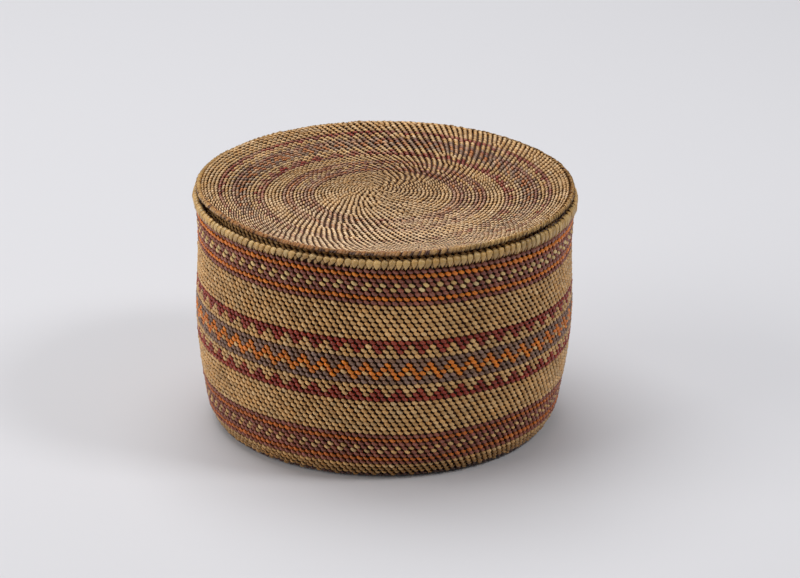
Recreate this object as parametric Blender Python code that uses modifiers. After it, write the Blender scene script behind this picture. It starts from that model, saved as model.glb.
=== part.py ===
"""A round lidded trinket basket, wrapped-twined in fine grass over bark warps.

The wall stands on a flat twined base, flares from the foot into a low belly, draws in to a shallow
neck and opens again at the mouth. Its warps are one cup; every strip of wrapped rounds is a turned
ring that lies on that cup, and a braided rim caps both. The lid is a flat disc of the same build, with
a wrapped edge roll that rests on the rim and a flange that stands inside the mouth. The lid was
started forward of its middle, so its rounds are wider at the back than at the front.

The frame is +Z up, with the origin at the middle of the underside. Everything is in metres.
"""

import math

import bpy
import numpy as np

MM = 0.001

# Overall sizes
RIM_RADIUS = 59.8 * MM
WALL_HEIGHT = 74.4 * MM

# Course of the wall: its belly inside the rim, the cone of the foot, the neck under the rim, and
# the heel where the last rounds turn under
RIM_PROUD = 0.3 * MM
BELLY_HEIGHT = 34.0 * MM
FOOT_FLARE = 0.26
FLARE_HEIGHT = 22.5 * MM
FLARE_BLEND = 9.7 * MM
NECK_DEPTH = 1.15 * MM
NECK_HEIGHT = 58.7 * MM
HEEL_TUCK = 2.8 * MM
HEEL_HEIGHT = 5.3 * MM

# Thickness of the work
WARP_THICKNESS = 1.0 * MM
WRAP_THICKNESS = 0.9 * MM
BASE_WRAP_THICKNESS = 1.1 * MM
LID_WARP_THICKNESS = 0.8 * MM
LID_WRAP_THICKNESS = 0.9 * MM
ROUND_RELIEF = 0.22 * MM

# Number of rounds of twining
WALL_ROUNDS = 52
RIM_ROUNDS = 2
LID_ROUNDS = 50

# Details
BASE_START_RADIUS = 14.0 * MM
HEEL_ROUND_WIDTH = 2.0 * MM
RIM_EDGE_CHAMFER = 0.5 * MM
EDGE_ROLL_DIAMETER = 2.3 * MM
EDGE_ROLL_SIDES = 8
FLANGE_DEPTH = 12.0 * MM
FLANGE_THICKNESS = 1.2 * MM
SELVEDGE_HEIGHT = 1.3 * MM
SELVEDGE_WIDTH = 1.5 * MM

# How far forward of the lid's middle its rounds are centred: radius of a round and distance, both as
# shares of the radius of the lid's field
LID_DRIFT = ((0.0, 0.053), (0.39, 0.158), (0.683, 0.181), (0.894, 0.069), (1.0, 0.0))

# Clearances
SEAT_GAP = 0.3 * MM
LID_SEAT = 0.4 * MM
LID_INSET = 1.1 * MM
FLANGE_CLEARANCE = 0.7 * MM

# Fineness of the turned surfaces
SEGMENTS = 36
PROFILE_STEP = 7.0 * MM
SHARP_ANGLE = math.radians(40.0)
MERGE_DISTANCE = 0.00001

# Colours of bark and grass, as linear red, green and blue
BARK = (0.20, 0.11, 0.05)
NATURAL = (0.45, 0.32, 0.14)
PALE = (0.52, 0.39, 0.19)
ORANGE = (0.50, 0.14, 0.02)
PURPLE = (0.13, 0.055, 0.075)
RED = (0.26, 0.045, 0.018)
GREY = (0.20, 0.155, 0.115)
DARK = (0.07, 0.03, 0.03)
CHECK = (0.27, 0.17, 0.10)

GRASS_ROUGHNESS = 0.55
BARK_ROUGHNESS = 0.8

# Strips of the wall: name, first round, last round, colour. Round 0 is the top one.
WALL_STRIPS = (
    ("upper_band_purple_1", 2, 2, PURPLE),
    ("upper_band_orange_1", 3, 3, ORANGE),
    ("upper_band_purple_2", 4, 4, PURPLE),
    ("upper_band_check", 5, 6, CHECK),
    ("upper_band_purple_3", 7, 7, PURPLE),
    ("upper_band_orange_2", 8, 8, ORANGE),
    ("upper_band_purple_4", 9, 9, PURPLE),
    ("upper_natural_field", 10, 17, NATURAL),
    ("middle_band_red_top", 18, 21, RED),
    ("middle_band_grey_orange", 22, 28, GREY),
    ("middle_band_red_bottom", 29, 31, RED),
    ("lower_natural_field", 32, 39, NATURAL),
    ("lower_band_purple_1", 40, 40, PURPLE),
    ("lower_band_orange_1", 41, 41, ORANGE),
    ("lower_band_purple_2", 42, 42, PURPLE),
    ("lower_band_check", 43, 44, CHECK),
    ("lower_band_purple_3", 45, 45, PURPLE),
    ("lower_band_orange_2", 46, 46, ORANGE),
    ("lower_band_purple_4", 47, 47, PURPLE),
    ("foot_natural_field", 48, 50, NATURAL),
)

# Strips of the lid: name, first round, last round, colour. Round 0 is the middle one.
LID_STRIPS = (
    ("lid_start", 0, 3, PALE),
    ("lid_center_field", 4, 18, NATURAL),
    ("lid_band_purple_1", 19, 19, PURPLE),
    ("lid_band_orange_1", 20, 20, ORANGE),
    ("lid_band_purple_2", 21, 21, PURPLE),
    ("lid_band_check", 22, 24, CHECK),
    ("lid_band_purple_3", 25, 25, PURPLE),
    ("lid_band_orange_2", 26, 26, ORANGE),
    ("lid_band_purple_4", 27, 27, PURPLE),
    ("lid_inner_field", 28, 32, NATURAL),
    ("lid_ring_red_inner", 33, 35, RED),
    ("lid_ring_grey", 36, 37, GREY),
    ("lid_ring_orange", 38, 40, ORANGE),
    ("lid_ring_purple", 41, 43, PURPLE),
    ("lid_ring_red_outer", 44, 45, RED),
    ("lid_outer_field", 46, 49, NATURAL),
)


def wall_radius(height):
    """Outer radius of the wall at a height: the belly's, less the foot's cone, the neck and the heel.

    The cone is a straight slope below FLARE_HEIGHT and nothing above it, joined by the smooth
    ramp blend * log(1 + exp(distance below / blend)). The neck is a cosine wave that starts at
    the belly and is deepest at NECK_HEIGHT. The heel is a parabola that turns the last rounds
    under, from HEEL_HEIGHT down to the table.
    """
    below = (FLARE_HEIGHT - height) / FLARE_BLEND
    flare = FOOT_FLARE * FLARE_BLEND * math.log1p(math.exp(below))
    turn = max(0.0, height - BELLY_HEIGHT) / (NECK_HEIGHT - BELLY_HEIGHT)
    neck = NECK_DEPTH * (1 - math.cos(math.pi * turn)) / 2
    tuck = HEEL_TUCK * max(0.0, 1 - height / HEEL_HEIGHT) ** 2
    return RIM_RADIUS - RIM_PROUD - flare - neck - tuck


# Values that follow from those above
ROUND_RISE = WALL_HEIGHT / WALL_ROUNDS
LID_RADIUS = RIM_RADIUS - LID_INSET
LID_FIELD_RADIUS = LID_RADIUS - EDGE_ROLL_DIAMETER
LID_ROUND_PITCH = LID_FIELD_RADIUS / LID_ROUNDS
WARP_INSET = WRAP_THICKNESS + SEAT_GAP
WALL_THICKNESS = WARP_INSET + WARP_THICKNESS
MOUTH_RADIUS = wall_radius(WALL_HEIGHT) - WALL_THICKNESS
NECK_RADIUS = wall_radius(NECK_HEIGHT) - WALL_THICKNESS
FLOOR_BOTTOM = BASE_WRAP_THICKNESS + SEAT_GAP
FLOOR_TOP = FLOOR_BOTTOM + WARP_THICKNESS
LID_BOTTOM = WALL_HEIGHT + LID_SEAT
LID_WARP_TOP = LID_BOTTOM + LID_WARP_THICKNESS
LID_WRAP_BOTTOM = LID_WARP_TOP + SEAT_GAP
LID_WRAP_TOP = LID_WRAP_BOTTOM + LID_WRAP_THICKNESS
FLANGE_RADIUS = NECK_RADIUS - FLANGE_CLEARANCE
FLANGE_TOP = LID_BOTTOM - SEAT_GAP
FLANGE_BOTTOM = FLANGE_TOP - FLANGE_DEPTH


def wall_line(top, bottom, inset):
    """Points down the wall from top to bottom, a set distance inside its outer face."""
    steps = max(1, math.ceil((top - bottom) / PROFILE_STEP))
    heights = [top + (bottom - top) * i / steps for i in range(steps + 1)]
    return [(wall_radius(height) - inset, height) for height in heights]


def round_top(index):
    """Height of the top of one round of the wall."""
    return WALL_HEIGHT - index * ROUND_RISE


def clear_scene():
    for obj in list(bpy.data.objects):
        bpy.data.objects.remove(obj, do_unlink=True)


def new_material(name, colour, roughness):
    material = bpy.data.materials.new(name)
    material.use_nodes = True
    shader = material.node_tree.nodes["Principled BSDF"]
    shader.inputs["Base Color"].default_value = (*colour, 1.0)
    shader.inputs["Roughness"].default_value = roughness
    shader.inputs["Metallic"].default_value = 0.0
    return material


def turned(name, profile, colour, parent, closed=True, roughness=GRASS_ROUGHNESS):
    """A solid of revolution about Z.

    The profile holds (radius, height) points at +X that run down the outer side. A closed one is
    a ring; an open one begins and ends on the axis.
    """
    points = [(radius, 0.0, height) for radius, height in profile]
    edges = [(i, i + 1) for i in range(len(points) - 1)]
    if closed:
        edges.append((len(points) - 1, 0))
    outline = bpy.data.meshes.new(name + "_profile")
    outline.from_pydata(points, edges, [])
    obj = bpy.data.objects.new(name, outline)
    parent.users_collection[0].objects.link(obj)
    screw = obj.modifiers.new("Turn", "SCREW")
    screw.axis = "Z"
    screw.angle = math.tau
    screw.steps = SEGMENTS
    screw.render_steps = SEGMENTS
    screw.use_merge_vertices = True
    screw.merge_threshold = MERGE_DISTANCE
    depsgraph = bpy.context.evaluated_depsgraph_get()
    mesh = bpy.data.meshes.new_from_object(obj.evaluated_get(depsgraph))
    obj.modifiers.remove(screw)
    obj.data = mesh
    bpy.data.meshes.remove(outline)
    mesh.name = name
    mesh.shade_smooth()
    mesh.set_sharp_from_angle(angle=SHARP_ANGLE)
    mesh.materials.append(new_material(name, colour, roughness))
    obj.parent = parent
    return obj


def make_wall_strip(name, first, last, colour, basket):
    """A ring of wrapped rounds that lies on the warps, with a gap to the strips above and below.

    Its outer face is narrower than its inner one, so the strip is soft along both edges.
    """
    top = round_top(first) - SEAT_GAP / 2
    bottom = round_top(last + 1) + SEAT_GAP / 2
    outer = wall_line(top - ROUND_RELIEF, bottom + ROUND_RELIEF, 0)
    inner = wall_line(top, bottom, WRAP_THICKNESS)
    turned(name, outer + inner[::-1], colour, basket)


def make_warps(basket):
    """The cup of warps and inner weft that carries the wall: open at the mouth, flat at the floor."""
    top = round_top(RIM_ROUNDS) - SEAT_GAP / 2
    inner = wall_line(top, FLOOR_TOP, WALL_THICKNESS)
    outer = wall_line(top, FLOOR_BOTTOM, WARP_INSET)
    profile = [(0.0, FLOOR_TOP), *inner[::-1], *outer, (0.0, FLOOR_BOTTOM)]
    turned("warp_cup", profile, BARK, basket, closed=False, roughness=BARK_ROUGHNESS)


def make_rim(basket):
    """Two braided rounds that cap the warps and the wall, with a groove between them."""
    top = WALL_HEIGHT
    bottom = round_top(RIM_ROUNDS) + SEAT_GAP / 2
    groove = round_top(1)
    upper_crest = (groove + top) / 2
    lower_crest = (groove + bottom) / 2
    profile = [
        (MOUTH_RADIUS + RIM_EDGE_CHAMFER, top),
        (RIM_RADIUS - RIM_EDGE_CHAMFER, top),
        (RIM_RADIUS, upper_crest),
        (RIM_RADIUS - ROUND_RELIEF, groove),
        (RIM_RADIUS, lower_crest),
        (RIM_RADIUS - ROUND_RELIEF, bottom),
        (MOUTH_RADIUS, bottom),
        (MOUTH_RADIUS, top - RIM_EDGE_CHAMFER),
    ]
    turned("rim_braid", profile, PALE, basket)


def make_base(basket):
    """The plaited start, the twined rounds about it, and the dark round that turns up the wall."""
    heel_outer = wall_radius(BASE_WRAP_THICKNESS / 2)
    heel_inner = heel_outer - HEEL_ROUND_WIDTH
    rounds_outer = heel_inner - SEAT_GAP
    rounds_inner = BASE_START_RADIUS + SEAT_GAP
    top = BASE_WRAP_THICKNESS
    start = [(0.0, top), (BASE_START_RADIUS, top), (BASE_START_RADIUS, 0.0), (0.0, 0.0)]
    turned("base_start", start, BARK, basket, closed=False, roughness=BARK_ROUGHNESS)
    rounds = [(rounds_inner, top), (rounds_outer, top), (rounds_outer, 0.0), (rounds_inner, 0.0)]
    turned("base_rounds", rounds, NATURAL, basket)
    heel = [
        (heel_inner, top),
        (heel_outer - ROUND_RELIEF, top),
        (heel_outer, top / 2),
        (wall_radius(0.0), 0.0),
        (heel_inner, 0.0),
    ]
    turned("heel_round", heel, DARK, basket)


def lid_drift(radius):
    """How far forward a round of the lid is centred, on straight lines between the listed places."""
    places, shares = zip(*LID_DRIFT)
    return LID_FIELD_RADIUS * float(np.interp(radius / LID_FIELD_RADIUS, places, shares))


def make_lid_strip(name, first, last, colour, lid):
    """A flat ring of rounds on the lid's warps, soft along both edges; the first is a disc.

    Its inner and outer edges are circles with their own centres, which it shares with its
    neighbours, so the gap to them is the same all round.
    """
    inner_edge = first * LID_ROUND_PITCH
    outer_edge = (last + 1) * LID_ROUND_PITCH
    inner = inner_edge + SEAT_GAP / 2
    outer = outer_edge - SEAT_GAP / 2
    side = [(outer - ROUND_RELIEF, LID_WRAP_TOP), (outer, LID_WRAP_BOTTOM)]
    if first == 0:
        profile = [(0.0, LID_WRAP_TOP), *side, (0.0, LID_WRAP_BOTTOM)]
    else:
        profile = [(inner + ROUND_RELIEF, LID_WRAP_TOP), *side, (inner, LID_WRAP_BOTTOM)]
    strip = turned(name, profile, colour, lid, closed=first > 0)
    for vertex in strip.data.vertices:
        is_outer = math.hypot(vertex.co.x, vertex.co.y) > (inner + outer) / 2
        vertex.co.y -= lid_drift(outer_edge if is_outer else inner_edge)


def make_lid_warps(lid):
    """The disc of warps that carries the lid's rounds, inside the edge roll."""
    radius = LID_FIELD_RADIUS - SEAT_GAP
    profile = [
        (0.0, LID_WARP_TOP),
        (radius, LID_WARP_TOP),
        (radius, LID_BOTTOM),
        (0.0, LID_BOTTOM),
    ]
    turned("lid_warp_disc", profile, BARK, lid, closed=False, roughness=BARK_ROUGHNESS)


def make_lid_edge(lid):
    """The wrapped roll round the lid's edge, which rests on the rim: a circle carried round."""
    radius = EDGE_ROLL_DIAMETER / 2
    middle = (LID_RADIUS - radius, LID_BOTTOM + radius)
    angles = [math.tau * (0.5 + i) / EDGE_ROLL_SIDES for i in range(EDGE_ROLL_SIDES)]
    across = radius / math.cos(math.pi / EDGE_ROLL_SIDES)
    profile = [
        (middle[0] + across * math.cos(angle), middle[1] - across * math.sin(angle))
        for angle in angles
    ]
    turned("lid_edge_roll", profile, PALE, lid)


def make_flange(lid):
    """The band that stands inside the mouth and keeps the lid in place, with its selvedge round."""
    inner = FLANGE_RADIUS - FLANGE_THICKNESS
    flange = [
        (FLANGE_RADIUS, FLANGE_TOP),
        (FLANGE_RADIUS, FLANGE_BOTTOM),
        (inner, FLANGE_BOTTOM),
        (inner, FLANGE_TOP),
    ]
    turned("lid_flange", flange, NATURAL, lid)
    top = FLANGE_BOTTOM - SEAT_GAP
    bottom = top - SELVEDGE_HEIGHT
    selvedge = [
        (FLANGE_RADIUS - ROUND_RELIEF, top),
        (FLANGE_RADIUS, (top + bottom) / 2),
        (FLANGE_RADIUS - ROUND_RELIEF, bottom),
        (FLANGE_RADIUS - SELVEDGE_WIDTH, bottom),
        (FLANGE_RADIUS - SELVEDGE_WIDTH, top),
    ]
    turned("lid_flange_selvedge", selvedge, PALE, lid)


def new_empty(name, collection, height):
    empty = bpy.data.objects.new(name, None)
    empty.location = (0.0, 0.0, height)
    empty.empty_display_size = RIM_RADIUS / 2
    collection.objects.link(empty)
    return empty


def main():
    clear_scene()
    collection = bpy.data.collections.new("lidded_basket")
    bpy.context.scene.collection.children.link(collection)
    basket = new_empty("basket", collection, 0.0)
    lid = new_empty("lid", collection, 0.0)
    make_base(basket)
    make_warps(basket)
    for name, first, last, colour in WALL_STRIPS:
        make_wall_strip(name, first, last, colour, basket)
    make_rim(basket)
    make_lid_warps(lid)
    for name, first, last, colour in LID_STRIPS:
        make_lid_strip(name, first, last, colour, lid)
    make_lid_edge(lid)
    make_flange(lid)


main()
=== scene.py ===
# %% [markdown]
# A round lidded trinket basket. It is twined in fine grass over bark warps: a wall of 52 rounds with dyed
# bands, a flat base, and a lid of 51 rounds with a wrapped edge and a flange that stands in the mouth.
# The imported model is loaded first. It gives every size, and each piece made here takes its place from it.

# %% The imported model
import math

import bpy
import numpy as np
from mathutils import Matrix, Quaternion, Vector


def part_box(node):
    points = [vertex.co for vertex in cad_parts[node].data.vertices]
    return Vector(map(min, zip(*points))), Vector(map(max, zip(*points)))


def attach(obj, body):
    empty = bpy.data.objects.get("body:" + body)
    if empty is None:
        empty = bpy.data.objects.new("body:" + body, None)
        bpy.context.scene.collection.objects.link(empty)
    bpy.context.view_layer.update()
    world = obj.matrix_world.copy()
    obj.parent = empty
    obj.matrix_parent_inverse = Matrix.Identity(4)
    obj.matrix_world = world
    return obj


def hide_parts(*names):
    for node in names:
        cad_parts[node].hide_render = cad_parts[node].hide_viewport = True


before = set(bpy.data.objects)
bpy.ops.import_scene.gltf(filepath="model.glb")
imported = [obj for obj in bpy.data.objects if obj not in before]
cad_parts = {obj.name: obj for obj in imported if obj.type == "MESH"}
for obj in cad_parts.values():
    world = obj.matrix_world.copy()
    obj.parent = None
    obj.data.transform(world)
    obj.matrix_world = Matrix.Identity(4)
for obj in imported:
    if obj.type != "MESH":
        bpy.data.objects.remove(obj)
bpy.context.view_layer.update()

MM = 0.001
TURN = 2 * math.pi

# %% [markdown]
# The sizes of the work are read off the CAD nodes. They could be typed in again, but then the two models
# could drift apart.

# %% Sizes read from the nodes
WALL_ROUNDS = 52
LID_ROUNDS = 50
wall_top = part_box("rim_braid")[1].z
rim_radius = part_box("rim_braid")[1].x
round_rise = wall_top / WALL_ROUNDS
lid_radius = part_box("lid_edge_roll")[1].x
lid_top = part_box("lid_outer_field")[1].z
lid_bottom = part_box("lid_warp_disc")[0].z
lid_field_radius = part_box("lid_outer_field")[1].x
lid_round_pitch = lid_field_radius / LID_ROUNDS
edge_roll_radius = (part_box("lid_edge_roll")[1].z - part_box("lid_edge_roll")[0].z) / 2
edge_roll_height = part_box("lid_edge_roll")[0].z + edge_roll_radius
flange_low, flange_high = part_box("lid_flange")
selvedge_low, selvedge_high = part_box("lid_flange_selvedge")
cup_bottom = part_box("warp_cup")[0].z
start_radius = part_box("base_start")[1].x
print("rim radius", rim_radius, "height", wall_top, "lid radius", lid_radius, "lid top", lid_top)
print("flange from", flange_low, "to", flange_high, "cup from", cup_bottom, "plaited start", start_radius)

# %% [markdown]
# The wall runs in at the foot, out to a belly and in again to a shallow neck under the rim. A smooth line
# through the outer corners of the CAD strips gives its radius at any height. The lid's rounds are not
# centred on its middle but further forward, and a second line gives how far.

# %% Smooth lines through the nodes
SMOOTHING = 4 * MM
LINE_STEP = 0.1 * MM


def node_points(name):
    """All the points of a CAD node as one array of x, y and z."""
    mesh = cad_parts[name].data
    points = np.empty(len(mesh.vertices) * 3)
    mesh.vertices.foreach_get("co", points)
    return points.reshape(-1, 3)


def outer_corners(names):
    """Height and radius of the points that stand furthest out, one for each round."""
    points = np.concatenate([node_points(name) for name in names])
    radius = np.hypot(points[:, 0], points[:, 1])
    number = np.round(points[:, 2] / round_rise).astype(int)
    order = np.lexsort((-radius, number))
    chosen = order[np.unique(number[order], return_index=True)[1]]
    return points[chosen, 2], radius[chosen]


def smooth_line(place, value, width):
    """A line through the points and its slope, as two functions of the place.

    Straight lines go from point to point and on past both ends. A running mean of the given width, with
    the weights of a raised cosine, rounds their corners.
    """
    fine = np.arange(place[0] - width, place[-1] + width, LINE_STEP)
    slopes = np.diff(value) / np.diff(place)
    line = (np.interp(fine, place, value) + slopes[0] * np.minimum(fine - place[0], 0)
            + slopes[-1] * np.maximum(fine - place[-1], 0))
    weight = np.hanning(2 * round(width / LINE_STEP / 2) + 3)
    padded = np.pad(line, len(weight) // 2, mode="reflect", reflect_type="odd")
    curve = np.convolve(padded, weight / weight.sum(), "valid")
    slope = np.gradient(curve, LINE_STEP)
    return lambda where: np.interp(where, fine, curve), lambda where: np.interp(where, fine, slope)


wall_nodes = [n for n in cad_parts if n.startswith(("upper_", "middle_", "lower_", "foot_", "heel_"))]
corner_height, corner_radius = outer_corners(wall_nodes)
course, course_slope = smooth_line(corner_height, corner_radius, SMOOTHING)
worst_miss = float(np.abs(course(corner_height) - corner_radius).max() / MM)
print("wall course, worst miss in mm:", round(worst_miss, 3))

lid_nodes = [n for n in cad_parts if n.startswith("lid_") and n.endswith(("start", "field"))
             or n.startswith(("lid_band_", "lid_ring_"))]
lid_boxes = sorted((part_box(name) for name in lid_nodes), key=lambda box: box[1].x)
box_radii = np.array([high.x for low, high in lid_boxes])
box_offsets = np.array([-(low.y + high.y) / 2 for low, high in lid_boxes])
lid_drift, lid_drift_slope = smooth_line(box_radii, box_offsets, SMOOTHING)
print("the lid's rounds are centred forward by, in mm:", np.round(lid_drift(box_radii) / MM, 1))

# %% [markdown]
# Every surface of the basket is made of the same thing, a round of stitches, and it only faces another
# way. So one function lays stitches on any of them. A tilt of 0 faces outward like the wall, 90 degrees
# faces up like the lid, -90 down like the base and 180 inward like the cavity.

# %% Where a stitch lies and which way it faces


def lay(angle, radius, height, tilt, shift=(0.0, 0.0)):
    """Centres and directions for stitches at the given angles round the axis.

    The centre is (radius cos angle, radius sin angle, height), moved level by the shift. Along points the
    way the angle grows. Out is cos tilt of the outward direction plus sin tilt of upward, and up is a
    quarter turn from it.
    """
    angle, radius, height, tilt = np.broadcast_arrays(angle, radius, height, tilt)
    zero = np.zeros_like(angle, dtype=float)
    outward = np.stack([np.cos(angle), np.sin(angle), zero], -1)
    vertical = np.stack([zero, zero, zero + 1], -1)
    along = np.stack([-np.sin(angle), np.cos(angle), zero], -1)
    out = np.cos(tilt)[..., None] * outward + np.sin(tilt)[..., None] * vertical
    up = -np.sin(tilt)[..., None] * outward + np.cos(tilt)[..., None] * vertical
    centre = radius[..., None] * outward + height[..., None] * vertical
    centre[..., 0] += shift[0]
    centre[..., 1] += shift[1]
    return centre, along, up, out


example = lay(0.0, rim_radius, wall_top, 0.0)
print("a stitch at angle 0 lies at", example[0], "and faces", example[3])

# %% [markdown]
# A stitch is a flat strip of grass that comes up between two warps, crosses one of them on a slant and
# goes down again. A curve with a bevel would make one, but there are thousands. So the strip is a small
# section carried along its path, and numpy works out all stitches of a strip of rounds at once.

# %% A section carried along many paths
# A section is a ring of points: the first is at the side, and the last lies under the middle.
SECTION_FINE = np.array([(1, -0.2), (0.7, 0.68), (0, 1), (-0.7, 0.68), (-1, -0.2), (0, -0.6)])
SECTION_PLAIN = np.array([(1, 0), (0, 1), (-1, 0), (0, -0.6)])
# How far apart two strips whose tones differ by one lie in the noise that streaks them
STREAKS_APART = 97


def ribbons(path, sideways, half_width, half_thick, section, dye, tone):
    """Closed strips: a section carried along each path.

    path has one row of points for each strip. At each point the section's first number goes sideways
    by the half width, and its second number goes by the half thickness along the cross product of the
    path's direction and sideways. The two ends are closed. The dye is one colour for each strip, or one
    for each of its points.
    """
    count, rings = path.shape[:2]
    sides = len(section)
    ahead = np.gradient(path, axis=1)
    ahead /= np.linalg.norm(ahead, axis=-1, keepdims=True)
    sideways = sideways - (sideways * ahead).sum(-1, keepdims=True) * ahead
    sideways /= np.linalg.norm(sideways, axis=-1, keepdims=True)
    lift = np.cross(ahead, sideways)
    across = section[:, 0] * half_width[..., None]
    above = section[:, 1] * half_thick[..., None]
    points = path[:, :, None] + sideways[:, :, None] * across[..., None] + lift[:, :, None] * above[..., None]

    ring, side = np.meshgrid(np.arange(rings - 1), np.arange(sides), indexing="ij")
    corner = (ring * sides + side).ravel()
    after = (ring * sides + (side + 1) % sides).ravel()
    walls = np.stack([corner, after, after + sides, corner + sides], -1)
    fan = np.stack([np.zeros(sides // 2 - 1, int), 2 * np.arange(1, sides // 2) - 1,
                    2 * np.arange(1, sides // 2), 2 * np.arange(1, sides // 2) + 1], -1)
    caps = np.concatenate([fan[:, ::-1], fan + (rings - 1) * sides])
    template = np.concatenate([walls, caps])
    faces = (template[None] + (np.arange(count) * rings * sides)[:, None, None]).reshape(-1, 4)

    length = np.cumsum(np.linalg.norm(np.diff(path, axis=1, prepend=path[:, :1]), axis=-1), axis=1)
    end = np.abs(np.linspace(-1, 1, rings))
    full = (count, rings, sides)
    return {
        "points": points.reshape(-1, 3),
        "faces": [faces],
        "dye": np.broadcast_to(dye.reshape(count, -1, 1, 3), full + (3,)).reshape(-1, 3),
        "tone": np.broadcast_to(tone[:, None, None], full).ravel(),
        "strand": np.stack([np.broadcast_to(length[..., None], full) / MM, across / MM,
                            np.broadcast_to(tone[:, None, None] * STREAKS_APART, full)], -1).reshape(-1, 3),
        "crown": np.broadcast_to(1 - end[None, :, None] ** 2, full) * (0.5 + 0.5 * section[:, 1]),
    }


print("points round a fine section:", len(SECTION_FINE), "and a plain one:", len(SECTION_PLAIN))

# %% [markdown]
# The slant of a stitch is that of a strand in a two-ply cord, because that is what a round of twining
# is. A true spiral would do, but a real stitch is flatter: it lies straight and level over its warp and
# dives at both ends between its neighbours, so that a dark line runs round each. Small seeded changes
# keep the rows from looking cast.

# %% A round of stitches
rng = np.random.default_rng(1907)

# Reach and lean say how far a stitch goes along and up, as shares of half its pitch and of its round's
# rise. The width is a share of the distance between two stitches of one round.
OUTER = {"share": np.array([-1, -0.8, -0.36, 0.36, 0.8, 1]), "section": SECTION_FINE, "height": 0.6 * MM,
         "thick": 0.34 * MM, "reach": 0.68, "lean": 0.32, "width": 0.53}
HIDDEN = {"share": np.array([-1, -0.4, 0.4, 1]), "section": SECTION_PLAIN, "height": 0.36 * MM,
          "thick": 0.24 * MM, "reach": 0.87, "lean": 0.41, "width": 0.53}
# How much stitches differ: lean, height, width and thickness as shares, their place in metres
LOOSE = {"lean": 0.07, "height": 0.09, "width": 0.05, "thick": 0.08, "place": 0.03 * MM}
# A stitch dives at its ends by this power of its length, and grows narrower and thinner there
DIVE_POWER = 3.2
END_NARROWING = 0.1
END_THINNING = 0.25
# A stitch is as plump as its round is high for its pitch, within these bounds
PLUMPNESS = 1.6
LEAST_PLUMP = 0.5
MOST_PLUMP = 1.1
# In a round that is lower than this share of the pitch, a stitch reaches further along
LOW_ROUND = 0.62
LOW_ROUND_REACH = 0.8


def weave(angle, radius, height, tilt, pitch, rise, dye, look, shift=(0.0, 0.0)):
    """Slanted stitches, one for each angle.

    Along its length the strip goes from -1 to 1. Its place along the round is that share of its reach,
    and its place up is minus that share of its lean. Its height is full in the middle and falls with the
    dive power of the share, so that both ends dive. The width is measured square to the slant.
    """
    angle, radius, height, tilt, pitch, rise = np.broadcast_arrays(angle, radius, height, tilt, pitch, rise)
    count = angle.size
    centre, along, up, out = lay(angle, radius, height, tilt, shift)
    slack = rng.normal(0, 1, (6, count))
    share = look["share"]
    full = np.clip(PLUMPNESS * rise / pitch, LEAST_PLUMP, MOST_PLUMP)
    run = look["reach"] * pitch / 2 * (1 + LOW_ROUND_REACH * np.maximum(0, LOW_ROUND - rise / pitch))
    climb = -look["lean"] * rise * (1 + LOOSE["lean"] * slack[0])
    lifted = look["height"] * full * (1 + LOOSE["height"] * slack[1])
    x = share * run[:, None] + LOOSE["place"] * slack[2][:, None]
    y = share * climb[:, None] + LOOSE["place"] * slack[3][:, None]
    h = lifted[:, None] * (1 - np.abs(share) ** DIVE_POWER) - look["height"] - look["thick"]
    path = (centre[:, None] + x[..., None] * along[:, None] + y[..., None] * up[:, None]
            + h[..., None] * out[:, None])
    steep = np.hypot(run, climb)
    sideways = (-climb / steep)[:, None] * along + (run / steep)[:, None] * up
    sideways = np.repeat(sideways[:, None], len(share), axis=1)
    half_width = look["width"] * pitch * np.abs(climb) / steep * (1 + LOOSE["width"] * slack[4])
    half_width = half_width[:, None] * (1 - END_NARROWING * share ** 4)
    half_thick = look["thick"] * full * (1 + LOOSE["thick"] * slack[5])
    half_thick = half_thick[:, None] * (1 - END_THINNING * share ** 2)
    return ribbons(path, sideways, half_width, half_thick, look["section"], dye, rng.random(count))


print("rings in an outer stitch:", len(OUTER["share"]), "and in a hidden one:", len(HIDDEN["share"]))

# %% [markdown]
# The grass is dyed before it is worked. The colours are written as they would be on a swatch card, and
# the maker's chart of each round is a short word: its letters repeat along the round, one per stitch.

# %% Dyes and the charts of the rounds


def swatch(red, green, blue):
    """A colour of the swatch card, 0 to 255, as linear light by the sRGB formula."""
    value = np.array([red, green, blue]) / 255
    return np.where(value <= 0.04045, value / 12.92, ((value + 0.055) / 1.055) ** 2.4)


# n natural grass, c its paler kind in the upper checks, p purple, o orange, q the duller orange of the
# lower band, r red, g grey, b the rim's teeth and the edge, e the rim's grass painted darker as shade for
# the diamonds, d dark, w grass that is worn pale, a the lid's orange, m natural grass painted darker and
# browner as shade at the foot
DYES = {
    "n": swatch(226, 176, 110),
    "c": swatch(240, 200, 130),
    "p": swatch(152, 80, 58),
    "o": swatch(236, 128, 4),
    "q": swatch(206, 106, 10),
    "r": swatch(158, 42, 4),
    "g": swatch(146, 108, 86),
    "b": swatch(212, 170, 102),
    "e": swatch(184, 142, 84),
    "d": swatch(88, 48, 40),
    "w": swatch(250, 218, 176),
    "a": swatch(200, 116, 46),
    "m": swatch(190, 140, 78),
}
# Dark bark, and also the brown painted as shade where strands come out of the mouth, on the round inside the
# mouth and under the lid's edge
BARK_AND_SHADE_BROWN = swatch(84, 46, 20)
# How unevenly a dye takes, for its red, green and blue
DYE_SPREAD = np.array([0.05, 0.1, 0.2])

WALL_CHART = (
    ["b", "b", "p", "o", "p", "cp", "pc", "p", "o", "p"]
    + ["n"] * 8
    + ["r", "rrn", "rnn", "n", "g", "ogg", "ogo", "oon", "ogg", "g", "n", "nnr", "nrr", "r"]
    + ["n"] * 8
    + ["p", "q", "p", "np", "pn", "p", "q", "p"]
    # The last rounds of the foot take m, natural grass painted darker as shade
    + ["n", "m", "m"]
    + ["dmd"]
)
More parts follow.
